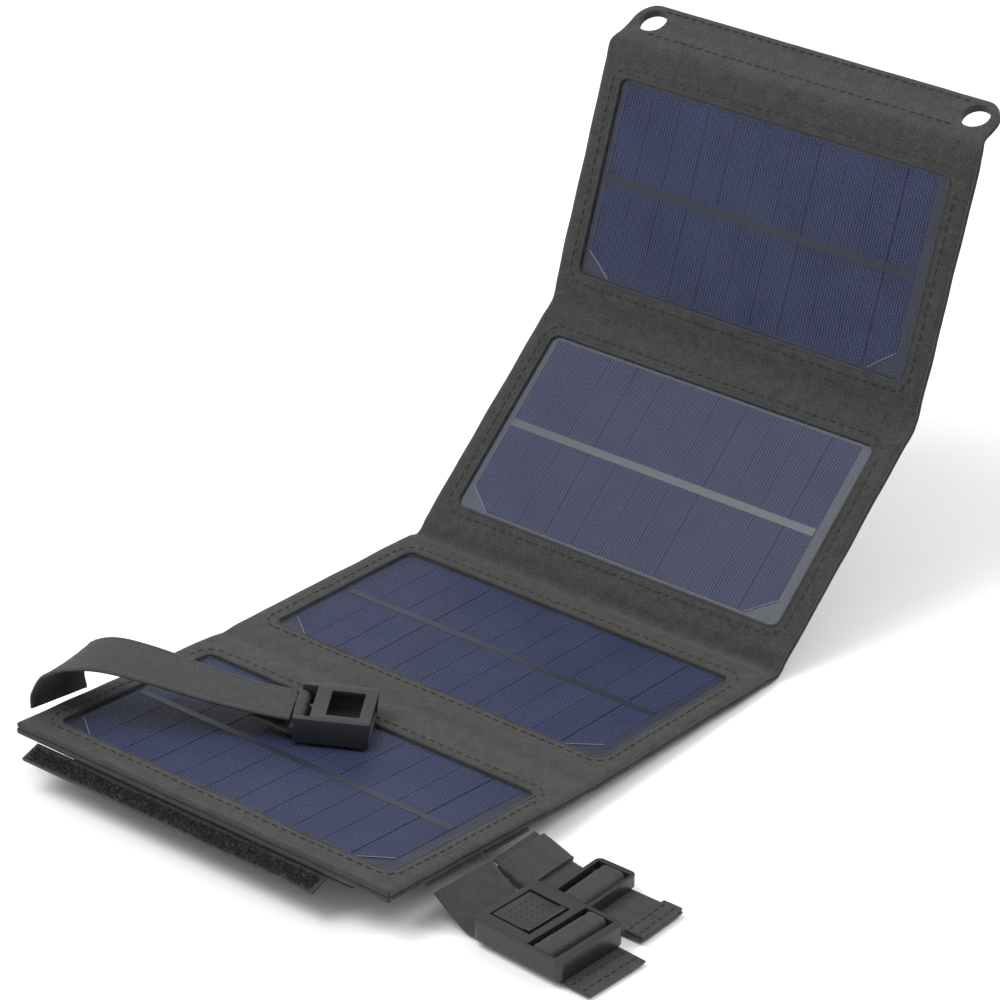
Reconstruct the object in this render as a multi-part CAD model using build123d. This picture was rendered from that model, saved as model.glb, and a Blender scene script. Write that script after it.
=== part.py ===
from build123d import *
import os
from math import atan2, cos, degrees, radians, sin, tan

os.makedirs("parts", exist_ok=True)

# ---------------------------------------------------------------- driving dimensions (mm, degrees)
# World frame: X across the panels, Y from the front panel to the raised one, Z up, ground at z = 0.
# Each panel has its own frame: x across, s along the cloth from its front end, n out of its face.
HALF_WIDTH = 74.0
WINDOW = (132.0, 68.8)          # clear opening over each solar module
WINDOW_RADIUS = 3.0
COVER = 1.9                     # one fabric cover with its edge padding
THICK = 2 * COVER               # whole panel
SKIN = 0.7                      # cloth that overlaps the module's rim
RIM = 4.0                       # how far the module reaches under that cloth
GAP = 0.2                       # slack between a panel's end and its fold line
GAP_BACK_FOLD = 0.6             # the same at fold 2, whose ends meet as a V when panel 3 stands up
FOLD_OFFSET = 0.4               # fold axes stand this far off the face or the back
END_SLANT = 1.05                # run per rise of the ends that meet at fold 2

FRONT_MARGIN = (9.5, 15.4, 15.0, 11.3)      # cloth before each window
REAR_MARGIN = (15.4, 15.0, 11.3, 11.2)      # cloth after each window
LENGTHS = [a + WINDOW[1] + b for a, b in zip(FRONT_MARGIN, REAR_MARGIN)]
SLOPES = (-5.5, -2.5, 39.9, 70.7)           # each panel's rise towards the back
TAB_SLOPE = 24.7
TAB_LENGTH = 17.5
TAB_RADIUS = 8.5
EYELET_RADIUS = 5.0
EYELET_INSET = 8.0
FRONT_EDGE_Y = -45.0

BOARD_THICK = 0.7               # module board
FILM_THICK = 0.5                # clear encapsulant over it, with the cells in its underside
CELL_COUNT = 11
CELL_PITCH = 11.35
CELL_GAP = 0.35
CELL_LENGTH = 66.0
CELL_THICK = 0.2
CELL_START = -WINDOW[0] / 2 + 2.8
CELL_CUT = (9.0, 7.0)           # cut corners of the cell row, on its front side
RIBBON = (2.8, 0.1)
STIFFENER_THICK = 1.0
LEAD = (3.0, 0.3)
LEAD_X = (21.5, 29.5)

WEB_WIDTH = 24.5
WEB_THICK = 1.3
EYE_WIDTH = 20.5                # the left strap narrows to this at its buckle

POUCH_X = (-65.0, 48.0)
POUCH_Y = (-31.0, 30.0)
POUCH_WALL = 1.2

CASE_X = (-62.0, -8.0)          # voltage regulator in the pouch
CASE_Y = (-29.0, -4.0)
CASE_Z = (1.3, 8.9)
CASE_WALL = 1.0
SOCKET_X = -44.0
SOCKET = (13.2, 14.0, 5.7)      # socket shell: wide, deep, high
SOCKET_Z = 2.3
LED_X = -22.0

BUCKLE = (26.0, 25.0, 8.0)      # socket half: wide, long, high
BUCKLE_ARM = 2.4
BUCKLE_HEADING = 33.0
BUCKLE_BAR = (-14.0, 60.6, 3.9)  # its webbing bar's middle, in panel 1's frame
BAR_RADIUS = 1.5

MALE = (34.0, 28.0, 6.5)        # plug half: long, wide, high
MALE_CENTRE = (110.0, -17.8, 2.0)
MALE_HEADING = -4.0
PAD = (14.3, 16.0, 2.0)
PAD_ROOT_U = -14.4

STRAP_B_Y = 9.5
STRAP_B_WIDTH = 20.0
GLIDE = (14.3, 24.0, 4.0)
GLIDE_X = 105.3
GLIDE_SLOT = (1.5, 5.9)         # from the middle of the slider to each slot's two sides


# ---------------------------------------------------------------- placing
def direction(slope):
    return Vector(0, cos(radians(slope)), sin(radians(slope)))


def normal(slope):
    return Vector(0, -sin(radians(slope)), cos(radians(slope)))


def panel_origins():
    """Front end of each panel's face, and the fold axes, from the ground up.

    Folds 1 and 3 close face to face, so their axes lie above the face; fold 2 closes
    back to back, so its axis lies below the back.
    """
    above, below = FOLD_OFFSET, -THICK - FOLD_OFFSET
    levels = (above, below, above)
    back_end = Vector(0, 0, 0)
    start2 = back_end - direction(SLOPES[1]) * LENGTHS[1] + normal(SLOPES[1]) * THICK
    fold1 = start2 + normal(SLOPES[1]) * above
    start1 = fold1 - normal(SLOPES[0]) * above - direction(SLOPES[0]) * LENGTHS[0]
    shift = Vector(0, FRONT_EDGE_Y - start1.Y, 0)
    starts, folds = [start1 + shift], []
    for k in range(3):
        fold = starts[k] + direction(SLOPES[k]) * LENGTHS[k] + normal(SLOPES[k]) * levels[k]
        folds.append(fold)
        starts.append(fold - normal(SLOPES[k + 1]) * levels[k])
    return starts, folds


STARTS, FOLDS = panel_origins()


def panel_frame(k):
    return Location((0, STARTS[k].Y, STARTS[k].Z), (SLOPES[k], 0, 0))


def back_height(y):
    """Height of panel 1's back above the ground."""
    corner = STARTS[0] - normal(SLOPES[0]) * THICK
    return corner.Z + (y - corner.Y) * tan(radians(SLOPES[0]))


def block(x, y, z):
    """Box between the pairs of limits x, y and z."""
    size = (x[1] - x[0], y[1] - y[0], z[1] - z[0])
    return Pos((x[0] + x[1]) / 2, (y[0] + y[1]) / 2, (z[0] + z[1]) / 2) * Box(*size)


def prism_x(points, x0, x1):
    """Solid between x0 and x1 whose section is the polygon of (y, z) points."""
    face = make_face(Polyline(*points, close=True))
    return extrude(Plane.YZ.offset(x0) * face, amount=x1 - x0)


def rounded_slab(centre, size, radius, z0, z1):
    face = Pos(centre[0], centre[1], z0) * RectangleRounded(size[0], size[1], radius)
    return extrude(face, amount=z1 - z0)


def single(shape):
    """The one solid of a shape."""
    return shape.solids()[0]


def web(points, radii, frame, width=WEB_WIDTH):
    """Webbing whose middle line runs through (u, h) points in a frame's XZ plane."""
    path = FilletPolyline(*[(u, 0, h) for u, h in points], radius=radii)
    section = Plane(origin=path @ 0, z_dir=path % 0, x_dir=(0, 1, 0)) * Rectangle(width, WEB_THICK)
    return frame * sweep(section, path=path)


# ---------------------------------------------------------------- one panel
def window_centre(k):
    return (0, FRONT_MARGIN[k] + WINDOW[1] / 2)


def end_line(k, rear, n):
    """Where a panel's layer ends at level n; the ends at fold 2 slant back towards the face."""
    if (k, rear) == (0, False):
        return 0
    at_back_fold = (k, rear) in ((1, True), (2, False))
    inset = GAP_BACK_FOLD + END_SLANT * (n + THICK) if at_back_fold else GAP
    return LENGTHS[k] - inset if rear else inset


def layer(k, low, high):
    points = [
        (end_line(k, False, low), low),
        (end_line(k, True, low), low),
        (end_line(k, True, high), high),
        (end_line(k, False, high), high),
    ]
    return prism_x(points, -HALF_WIDTH, HALF_WIDTH)


def pocket(k, low, high, extra=0.0):
    centre = window_centre(k)
    size = (WINDOW[0] + 2 * RIM + extra, WINDOW[1] + 2 * RIM + extra)
    return block(
        (centre[0] - size[0] / 2, centre[0] + size[0] / 2),
        (centre[1] - size[1] / 2, centre[1] + size[1] / 2),
        (low, high),
    )


def front_cover(k):
    body = layer(k, -COVER, 0)
    body -= rounded_slab(window_centre(k), WINDOW, WINDOW_RADIUS, -COVER - 1, 1)
    return body - pocket(k, -COVER - 1, -SKIN, 0.2)


def lead_block(k, x, slack):
    return block(
        (x - LEAD[0] / 2 - slack, x + LEAD[0] / 2 + slack),
        (end_line(k, False, -COVER) + 1 - 3 * slack, end_line(k, True, -COVER) - 1 + 3 * slack),
        (-COVER - 0.05 - LEAD[1] - slack, -COVER - 0.05 + slack / 2),
    )


def back_cover(k):
    body = layer(k, -THICK, -COVER)
    body -= pocket(k, -COVER - STIFFENER_THICK - 0.1, -COVER + 1, 0.2)
    for x in LEAD_X:
        body -= lead_block(k, x, 0.1)
    return body


def lead_wires(k):
    return Compound(children=[single(lead_block(k, x, 0)) for x in LEAD_X])


def stiffener(k):
    body = pocket(k, -COVER - 0.05 - STIFFENER_THICK, -COVER - 0.05)
    for x in LEAD_X:
        body -= lead_block(k, x, 0.1)
    return body


def module_board(k):
    top = -SKIN - FILM_THICK
    return pocket(k, top - BOARD_THICK, top)


def cell_row(k):
    """The strips side by side, with the row's two front corners cut off."""
    y0 = window_centre(k)[1] - CELL_LENGTH / 2
    z0 = -SKIN - FILM_THICK
    strips = []
    end = CELL_START + CELL_COUNT * CELL_PITCH - CELL_GAP
    for i in range(CELL_COUNT):
        x0 = CELL_START + i * CELL_PITCH
        limits = ((x0, x0 + CELL_PITCH - CELL_GAP), (y0, y0 + CELL_LENGTH), (z0, z0 + CELL_THICK))
        strip = block(*limits)
        for corner, way in ((CELL_START, 1), (end, -1)):
            if abs(corner - x0) < 0.1 or abs(corner - x0 - CELL_PITCH + CELL_GAP) < 0.1:
                points = [(corner, y0), (corner + way * CELL_CUT[0], y0), (corner, y0 + CELL_CUT[1])]
                face = Pos(0, 0, z0 - 1) * make_face(Polyline(*points, close=True))
                strip -= extrude(face, amount=CELL_THICK + 2, dir=(0, 0, 1))
        strips.append(single(strip))
    return strips


def cell_strips(k):
    return Compound(children=cell_row(k))


def busbar_ribbon(k):
    y = window_centre(k)[1]
    z0 = -SKIN - FILM_THICK + CELL_THICK
    end = CELL_START + CELL_COUNT * CELL_PITCH - CELL_GAP
    return block((CELL_START, end), (y - RIBBON[0] / 2, y + RIBBON[0] / 2), (z0, z0 + RIBBON[1]))


def encapsulant(k):
    body = pocket(k, -SKIN - FILM_THICK, -SKIN)
    for strip in cell_row(k):
        body -= strip
    return body - busbar_ribbon(k)


# ---------------------------------------------------------------- hanging tab
def tab_frame():
    """The tab starts on panel 4's far end, on its back face, and leans back."""
    slope = SLOPES[3]
    hinge = STARTS[3] + direction(slope) * LENGTHS[3] - normal(slope) * (THICK + FOLD_OFFSET)
    start = hinge + normal(TAB_SLOPE) * (THICK + FOLD_OFFSET)
    return Location((0, start.Y, start.Z), (TAB_SLOPE, 0, 0)), hinge


TAB_THICK = 1.5
TAB_HALF = 72.7


def tab_layer(low, high):
    """The tab's two far corners are round, with an eyelet hole in each."""
    near, far = 1.2, TAB_LENGTH
    body = block((-TAB_HALF, TAB_HALF), (near, far), (low, high))
    corners = body.edges().filter_by(Axis.Z).group_by(Axis.Y)[-1]
    body = fillet(corners, TAB_RADIUS)
    for way in (-1, 1):
        x = way * (TAB_HALF - EYELET_INSET)
        hole = Pos(x, far - EYELET_INSET, low) * Cylinder(EYELET_RADIUS, 4 * THICK)
        body -= hole
    return body


# ---------------------------------------------------------------- pouch and regulator under panel 1
def pouch_shell():
    """Floor, two sides and a rear wall hanging from panel 1's back; the mouth faces the front."""
    (y0, y1), w = POUCH_Y, POUCH_WALL
    clear = 0.05
    outer = prism_x(
        [(y0, 0), (y1, 0), (y1, back_height(y1) - clear), (y0, back_height(y0) - clear)], *POUCH_X
    )
    inner = block(
        (POUCH_X[0] + w, POUCH_X[1] - w), (y0 - 1, y1 - w), (w, back_height(y0) + 1)
    )
    return outer - inner


def mouth_strip():
    """Loop strip along the inside of the pouch's mouth, beside the regulator."""
    return block((-3.0, POUCH_X[1] - 3), (POUCH_Y[0] + 0.5, POUCH_Y[0] + 10), (POUCH_WALL + 0.02, POUCH_WALL + 1.2))


def socket_block(slack):
    return block(
        (SOCKET_X - SOCKET[0] / 2 - slack, SOCKET_X + SOCKET[0] / 2 + slack),
        (CASE_Y[0] - 0.3 - slack, CASE_Y[0] - 0.3 + SOCKET[1] + slack),
        (SOCKET_Z - slack, SOCKET_Z + SOCKET[2] + slack),
    )


def led_body(slack):
    middle = (CASE_Z[0] + CASE_Z[1]) / 2 + 1.9
    return Pos(LED_X, CASE_Y[0] + 1.2, middle) * Rot(90, 0, 0) * Cylinder(1.5 + slack, 3.2 + slack)


def case_shell():
    outer = block(CASE_X, CASE_Y, CASE_Z)
    outer = fillet(outer.edges().filter_by(Axis.Z), 2.5)
    w = CASE_WALL
    outer -= block(
        (CASE_X[0] + w, CASE_X[1] - w), (CASE_Y[0] + w, CASE_Y[1] - w), (CASE_Z[0] + w, CASE_Z[1] - w)
    )
    return outer - socket_block(0.05) - led_body(0.05)


SPLIT_Z = (CASE_Z[0] + CASE_Z[1]) / 2


def case_half(top):
    limits = (SPLIT_Z, CASE_Z[1] + 5) if top else (CASE_Z[0] - 5, SPLIT_Z)
    keep = block((CASE_X[0] - 1, CASE_X[1] + 1), (CASE_Y[0] - 1, CASE_Y[1] + 1), limits)
    return case_shell() & keep


def circuit_board():
    w = CASE_WALL + 0.2
    board = block(
        (CASE_X[0] + w, CASE_X[1] - w), (CASE_Y[0] + w, CASE_Y[1] - w), (CASE_Z[0] + w + 0.1, CASE_Z[0] + w + 1.1)
    )
    return board - socket_block(0.15)


def usb_shell():
    inside = block(
        (SOCKET_X - SOCKET[0] / 2 + 0.35, SOCKET_X + SOCKET[0] / 2 - 0.35),
        (CASE_Y[0] - 2, CASE_Y[0] - 0.3 + SOCKET[1] - 0.6),
        (SOCKET_Z + 0.35, SOCKET_Z + SOCKET[2] - 0.35),
    )
    return socket_block(0) - inside


def usb_tongue():
    return block(
        (SOCKET_X - 5.5, SOCKET_X + 5.5),
        (CASE_Y[0] + 2.0, CASE_Y[0] - 0.3 + SOCKET[1] - 0.62),
        (SOCKET_Z + SOCKET[2] - 2.4, SOCKET_Z + SOCKET[2] - 0.8),
    )


# ---------------------------------------------------------------- lip under panel 1's front edge
LIP_X = (-66.0, 50.0)
LIP_LENGTH = 6.6
LIP_DROOP = 17.0
LIP_HINGE_S = 1.0


def lip_frame():
    """Lip frame: its Y points forward and down from the hinge line under panel 1's back."""
    hinge = STARTS[0] + direction(SLOPES[0]) * LIP_HINGE_S - normal(SLOPES[0]) * (THICK + 0.7)
    return Location((0, hinge.Y, hinge.Z), (LIP_DROOP, 0, 0)), hinge


def lip_fabric():
    return block(LIP_X, (-LIP_LENGTH - LIP_HINGE_S, -0.4), (-1.0, -0.2))


def lip_strip():
    return block((LIP_X[0] + 1, LIP_X[1] - 1), (-LIP_LENGTH - LIP_HINGE_S + 0.5, -LIP_HINGE_S - 0.8), (-0.18, 1.4))


# ---------------------------------------------------------------- webbing anchors sewn under panel 1
ANCHOR_Z = (-THICK - 1.1, -THICK - 0.05)


def left_anchor():
    return block((-HALF_WIDTH + 1, -67.0), (8.0, 8.0 + WEB_WIDTH), ANCHOR_Z)


def right_anchors():
    near = block((62.0, HALF_WIDTH), (17.5, 17.5 + WEB_WIDTH), ANCHOR_Z)
    middle = (STRAP_B_Y - FRONT_EDGE_Y) / cos(radians(SLOPES[0]))
    half = STRAP_B_WIDTH / 2
    far = block((62.0, HALF_WIDTH), (middle - half, middle + half), ANCHOR_Z)
    return Compound(children=[single(near), single(far)])


# ---------------------------------------------------------------- left strap and socket buckle
# Stations of the strap's middle line in panel 1's frame: x, s, n, heading, pitch, width.
LEFT_STATIONS = (
    (-76.4, 20.5, 0.2, 0.0, 104.0, WEB_WIDTH),
    (-77.2, 20.7, 4.5, 2.0, 92.0, WEB_WIDTH),
    (-75.8, 21.5, 10.5, 8.0, 68.0, WEB_WIDTH),
    (-71.0, 23.6, 15.2, 18.0, 34.0, WEB_WIDTH),
    (-63.0, 27.6, 17.2, 26.0, 2.0, WEB_WIDTH),
    (-52.0, 34.4, 15.4, 32.0, -16.0, WEB_WIDTH),
    (-38.0, 44.4, 10.8, 34.0, -19.0, 23.0),
    (-25.5, 53.0, 7.6, 33.0, -14.0, EYE_WIDTH),
)
RING_INNER = BAR_RADIUS + 0.4
RING_OUTER = RING_INNER + 1.2


def buckle_frame():
    """Origin on the webbing bar, X along the strap's heading, Z out of panel 1's face."""
    return panel_frame(0) * Location(BUCKLE_BAR, (0, 0, BUCKLE_HEADING))


def station_face(x, s, n, heading, pitch, width):
    tangent = Vector(1, 0, 0).rotate(Axis.Y, -pitch).rotate(Axis.Z, heading)
    across = Vector(0, 1, 0).rotate(Axis.Z, heading)
    return Plane(origin=(x, s, n), x_dir=across, z_dir=tangent) * Rectangle(width, WEB_THICK)


def left_webbing():
    """Ruled strap through its stations, then a sewn eye round the buckle's bar."""
    band = loft([station_face(*row) for row in LEFT_STATIONS], ruled=True)
    band = panel_frame(0) * band
    last = LEFT_STATIONS[-1]
    reach = ((BUCKLE_BAR[0] - last[0]) ** 2 + (BUCKLE_BAR[1] - last[1]) ** 2) ** 0.5
    rise = last[2] - BUCKLE_BAR[2]
    half = RING_OUTER * 0.98
    side = [
        (-reach - 0.3, rise - WEB_THICK / 2),
        (-1.0, -half),
        (0.5, half - 0.2),
        (-2.0, half + 0.05),
        (-reach - 0.3, rise + WEB_THICK / 2),
    ]
    face = Plane.XZ.offset(-EYE_WIDTH / 2) * make_face(Polyline(*side, close=True))
    web_end = extrude(face, amount=EYE_WIDTH)
    ring = Rot(90, 0, 0) * Cylinder(RING_OUTER, EYE_WIDTH)
    bore = Rot(90, 0, 0) * Cylinder(RING_INNER, EYE_WIDTH + 2)
    return band + buckle_frame() * ((web_end + ring) - bore)


def female_buckle():
    """Socket half: webbing bar, slot, and a block that is hollow from its far end, with a window."""
    wide, long, high = BUCKLE
    low, top = 0.3 - BUCKLE_BAR[2], 0.3 - BUCKLE_BAR[2] + high
    rear, far = -BAR_RADIUS, long - BAR_RADIUS
    arm = BUCKLE_ARM
    block_start = 4.9
    body = block((0, far), (-wide / 2, wide / 2), (low, top))
    body = fillet(body.edges().filter_by(Axis.Z), 1.2)
    slot = block((rear - 3, block_start), (-wide / 2 + arm, wide / 2 - arm), (low - 1, top + 1))
    rib = block((block_start - 1.2, block_start + 1), (-1, 1), (low + 1.5, top - 1.5))
    hollow = block((block_start + 2, far + 1), (-10.0, 10.0), (low + 1.3, top - 1.3))
    window = block((9.5, far - 3.6), (-8.5, 8.5), (low + 2, top + 1))
    bar = Rot(90, 0, 0) * Cylinder(BAR_RADIUS, wide - 0.5)
    body = body - slot + rib + bar
    body = body - hollow - window
    return buckle_frame() * body


# ---------------------------------------------------------------- right straps
def male_place():
    return Location(MALE_CENTRE, (0, 0, MALE_HEADING))


ADJUSTER_U = 8.2
ADJUSTER_RADIUS = 1.7
PAD_SLACK = 0.8


def strap_a_webbing():
    """Down from panel 1's edge to the ground, under the plug half, over its bar and out as a tail."""
    points = [
        (-33.4, 6.6), (-28.5, 3.2), (-21.0, -1.1), (4.1, -1.1), (5.2, 6.1), (11.0, 6.1), (12.4, -1.1),
        (26.5, -1.1),
    ]
    return web(points, (12, 12, 1.0, 1.4, 1.4, 1.0), male_place())


def male_frame():
    """Plug half: release opening, middle bar, adjuster bar and end bar."""
    long, wide, high = MALE
    body = block((-long / 2, long / 2), (-wide / 2, wide / 2), (0, high))
    body = fillet(body.edges().filter_by(Axis.Z), 2.5)
    release_half = PAD[1] / 2 + PAD_SLACK
    body -= block((PAD_ROOT_U - 0.4, 0.6), (-release_half, release_half), (-1, high + 1))
    body -= block((3.2, 14.0), (-12.6, 12.6), (-1, high + 1))
    body += Pos(ADJUSTER_U, 0, 3.4) * Rot(90, 0, 0) * Cylinder(ADJUSTER_RADIUS, wide - 1.5)
    return male_place() * body


def release_pad():
    """Thumb pad held at its panel end; pressing it down frees the socket half."""
    long, wide, thick = PAD
    top = MALE[2] - 0.1
    body = block((PAD_ROOT_U, PAD_ROOT_U + long), (-wide / 2, wide / 2), (top - thick, top))
    ridge = block((PAD_ROOT_U + long - 2.2, PAD_ROOT_U + long), (-wide / 2, wide / 2), (top - 0.5, top + 0.7))
    return male_place() * (body + ridge)


PAD_HINGE = (PAD_ROOT_U - 0.2, 0, MALE[2] - 1.1)
STRAP_B_POINTS = ((75.9, 6.4), (92.0, 0.9), (130.5, 0.9))
HEM_LENGTH = 6.5
KEEPER = (12.2, 23.0, 4.2)      # loop: along the strap, across it, high
KEEPER_OPENING = (20.8, 1.8)


def strap_b_webbing():
    return web(STRAP_B_POINTS, (20,), Pos(0, STRAP_B_Y, 0), STRAP_B_WIDTH)


def strap_b_hem():
    """Folded and sewn end of the strap, on top of it."""
    half = STRAP_B_WIDTH / 2 - 0.2
    end = STRAP_B_POINTS[-1][0]
    return block((end - HEM_LENGTH, end), (STRAP_B_Y - half, STRAP_B_Y + half), (1.6, 2.9))


def keeper_loop():
    """Flat loop of webbing round the middle of the sloping part of the strap."""
    (x0, z0), (x1, z1) = STRAP_B_POINTS[:2]
    slope = degrees(atan2(z0 - z1, x1 - x0))
    body = Box(*KEEPER) - Box(KEEPER[0] + 2, *KEEPER_OPENING)
    return Pos((x0 + x1) / 2, STRAP_B_Y, (z0 + z1) / 2 + 0.05) * Rot(0, slope, 0) * body


def tri_glide():
    """Three-bar slider that rides on the strap."""
    long, wide, high = GLIDE
    half = STRAP_B_WIDTH / 2 + 0.3
    body = block((-long / 2, long / 2), (-wide / 2, wide / 2), (0, high))
    body = fillet(body.edges().filter_by(Axis.Z), 2.0)
    near, far = GLIDE_SLOT
    for limits in ((near, far), (-far, -near)):
        body -= block(limits, (-half, half), (-1, high + 1))
    body -= block((-near - 0.5, near + 0.5), (-half, half), (2.6, high + 1))
    return Pos(GLIDE_X, STRAP_B_Y, 1.8) * body


def glide_webbing():
    """The strap's hump over the slider's middle bar."""
    points = [(-4.6, 0.75), (-3.2, 3.6), (3.2, 3.6), (4.6, 0.75)]
    return web(points, (1.4, 1.4), Pos(GLIDE_X, STRAP_B_Y, 1.8), STRAP_B_WIDTH)


# ---------------------------------------------------------------- write every piece
def save(name, shape):
    export_step(shape, "parts/" + name + ".step")


def build():
    makers = {
        "front_cover": front_cover,
        "back_cover": back_cover,
        "stiffener_board": stiffener,
        "module_board": module_board,
        "cell_strips": cell_strips,
        "busbar_ribbon": busbar_ribbon,
        "encapsulant": encapsulant,
        "lead_wires": lead_wires,
    }
    for k in range(4):
        for name, make in makers.items():
            save(f"{name}_{k + 1}", panel_frame(k) * make(k))

    tab, tab_hinge = tab_frame()
    save("tab_front_cover", tab * tab_layer(-THICK - FOLD_OFFSET + TAB_THICK, -THICK - FOLD_OFFSET + 2 * TAB_THICK))
    save("tab_back_cover", tab * tab_layer(-THICK - FOLD_OFFSET, -THICK - FOLD_OFFSET + TAB_THICK))

    lip, lip_hinge = lip_frame()
    save("lip_fabric", lip * lip_fabric())
    save("lip_strip", lip * lip_strip())
    save("pouch_shell", pouch_shell())
    save("mouth_strip", mouth_strip())
    save("case_bottom", case_half(False))
    save("case_top", case_half(True))
    save("circuit_board", circuit_board())
    save("usb_shell", usb_shell())
    save("usb_tongue", usb_tongue())
    save("led_lens", led_body(0))

    save("left_anchor", panel_frame(0) * left_anchor())
    save("right_anchors", panel_frame(0) * right_anchors())
    save("left_webbing", left_webbing())
    save("female_buckle", female_buckle())
    save("strap_a_webbing", strap_a_webbing())
    save("male_frame", male_frame())
    save("release_pad", release_pad())
    save("strap_b_webbing", strap_b_webbing())
    save("strap_b_hem", strap_b_hem())
    save("keeper_loop", keeper_loop())
    save("tri_glide", tri_glide())
    save("glide_webbing", glide_webbing())

    for k, fold in enumerate(FOLDS):
        print("fold", k + 1, "axis at y, z:", round(fold.Y, 3), round(fold.Z, 3))
    print("tab hinge", round(tab_hinge.Y, 3), round(tab_hinge.Z, 3))
    print("lip hinge", round(lip_hinge.Y, 3), round(lip_hinge.Z, 3))
    print("panel 1 start", round(STARTS[0].Y, 3), round(STARTS[0].Z, 3))
    print("buckle bar", buckle_frame().position, "pad hinge", (male_place() * Pos(*PAD_HINGE)).position)


build()
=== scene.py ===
import math
import random

import bmesh
import bpy
import numpy as np
from mathutils import Matrix, Vector, noise


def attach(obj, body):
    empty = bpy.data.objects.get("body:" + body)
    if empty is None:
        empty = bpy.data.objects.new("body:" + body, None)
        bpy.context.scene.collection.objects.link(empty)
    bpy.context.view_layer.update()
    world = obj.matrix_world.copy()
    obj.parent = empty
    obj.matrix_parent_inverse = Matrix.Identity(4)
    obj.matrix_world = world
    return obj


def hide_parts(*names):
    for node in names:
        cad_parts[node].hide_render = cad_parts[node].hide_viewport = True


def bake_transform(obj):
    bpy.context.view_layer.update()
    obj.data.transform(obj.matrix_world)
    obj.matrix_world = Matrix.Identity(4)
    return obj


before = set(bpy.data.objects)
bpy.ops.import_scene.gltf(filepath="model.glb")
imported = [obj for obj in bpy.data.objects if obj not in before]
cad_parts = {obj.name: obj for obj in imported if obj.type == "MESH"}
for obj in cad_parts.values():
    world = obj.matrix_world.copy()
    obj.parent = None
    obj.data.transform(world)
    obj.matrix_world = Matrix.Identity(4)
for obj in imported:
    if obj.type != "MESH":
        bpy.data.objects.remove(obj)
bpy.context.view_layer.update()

# ---------------------------------------------------------------- the panels' frames (metres)
MM = 0.001
THICK = 0.0038
WINDOW = (0.132, 0.0688)
FRONT = (0.0095, 0.0154, 0.0150, 0.0113)
REAR = (0.0154, 0.0150, 0.0113, 0.0112)
LENGTHS = [a + WINDOW[1] + b for a, b in zip(FRONT, REAR)]
SLOPES = (-5.5, -2.5, 39.9, 70.7, 24.7)
STARTS = [(-0.045, 0.017106)]
AXES = [(0.048307, 0.008523), (0.147212, -0.0004), (0.217219, 0.064131), (0.251736, 0.14878)]
LEVELS = (0.0004, -0.0042, 0.0004, -0.0042)
BEND = 0.007
TAB_LENGTH = 0.0175
TAB_HALF = 0.0727
TAB_RADIUS = 0.0085
EYELET_X = 0.0647
EYELET_T = 0.0095
EYELET_RADIUS = 0.005
WINDOW_RADIUS = 0.003
OUTER_HALF = 0.0743             # half width at the side edges' fullest point
EDGE_ROLL = 0.0012              # how far in the tab's far edge rounds off
GRID_S = 0.0013                 # spacing of the cloth's sections


def along(slope):
    a = math.radians(slope)
    return np.array((math.cos(a), math.sin(a)))


def out(slope):
    a = math.radians(slope)
    return np.array((-math.sin(a), math.cos(a)))


for k in range(3):
    STARTS.append(tuple(np.array(AXES[k]) - out(SLOPES[k + 1]) * LEVELS[k]))


def on_panel(k, pts):
    """Panel frame (x, s, n) to world."""
    pts = np.asarray(pts, float)
    yz = np.array(STARTS[k]) + pts[:, 1:2] * along(SLOPES[k]) + pts[:, 2:3] * out(SLOPES[k])
    return np.column_stack([pts[:, 0], yz])


def bent(k, pts):
    """Points laid flat about fold k (x, distance past the fold, n), bent to the rest pose."""
    pts = np.asarray(pts, float)
    w = np.clip((pts[:, 1] + BEND) / (2 * BEND), 0, 1)
    w = w * w * (3 - 2 * w)
    ang = np.radians(SLOPES[k] + w * (SLOPES[k + 1] - SLOPES[k]))
    t, n = pts[:, 1], pts[:, 2] - LEVELS[k]
    y = AXES[k][0] + t * np.cos(ang) - n * np.sin(ang)
    z = AXES[k][1] + t * np.sin(ang) + n * np.cos(ang)
    return np.column_stack([pts[:, 0], y, z])


# ---------------------------------------------------------------- materials
def nodes_of(name, rough=0.6, colour=(0.05, 0.05, 0.05)):
    mat = bpy.data.materials.new(name)
    mat.use_nodes = True
    tree = mat.node_tree
    shader = tree.nodes["Principled BSDF"]
    shader.inputs["Roughness"].default_value = rough
    shader.inputs["Base Color"].default_value = (*colour, 1)
    return mat, tree, shader


def math_node(tree, kind, a, b=None):
    node = tree.nodes.new("ShaderNodeMath")
    node.operation = kind
    for i, v in enumerate((a, b)):
        if v is None:
            continue
        if isinstance(v, (int, float)):
            node.inputs[i].default_value = v
        else:
            tree.links.new(v, node.inputs[i])
    return node.outputs[0]


def mix_colour(tree, fac, a, b):
    node = tree.nodes.new("ShaderNodeMix")
    node.data_type = "RGBA"
    tree.links.new(fac, node.inputs[0])
    node.inputs[6].default_value = (*a, 1)
    node.inputs[7].default_value = (*b, 1)
    return node.outputs[2]


def noise_node(tree, scale, detail=3.0):
    coord = tree.nodes.new("ShaderNodeTexCoord")
    node = tree.nodes.new("ShaderNodeTexNoise")
    node.inputs["Scale"].default_value = scale
    node.inputs["Detail"].default_value = detail
    tree.links.new(coord.outputs["Object"], node.inputs["Vector"])
    return node.outputs[0], coord


def bump(tree, shader, height, strength, distance):
    node = tree.nodes.new("ShaderNodeBump")
    node.inputs["Strength"].default_value = strength
    node.inputs["Distance"].default_value = distance
    tree.links.new(height, node.inputs["Height"])
    tree.links.new(node.outputs[0], shader.inputs["Normal"])


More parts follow.
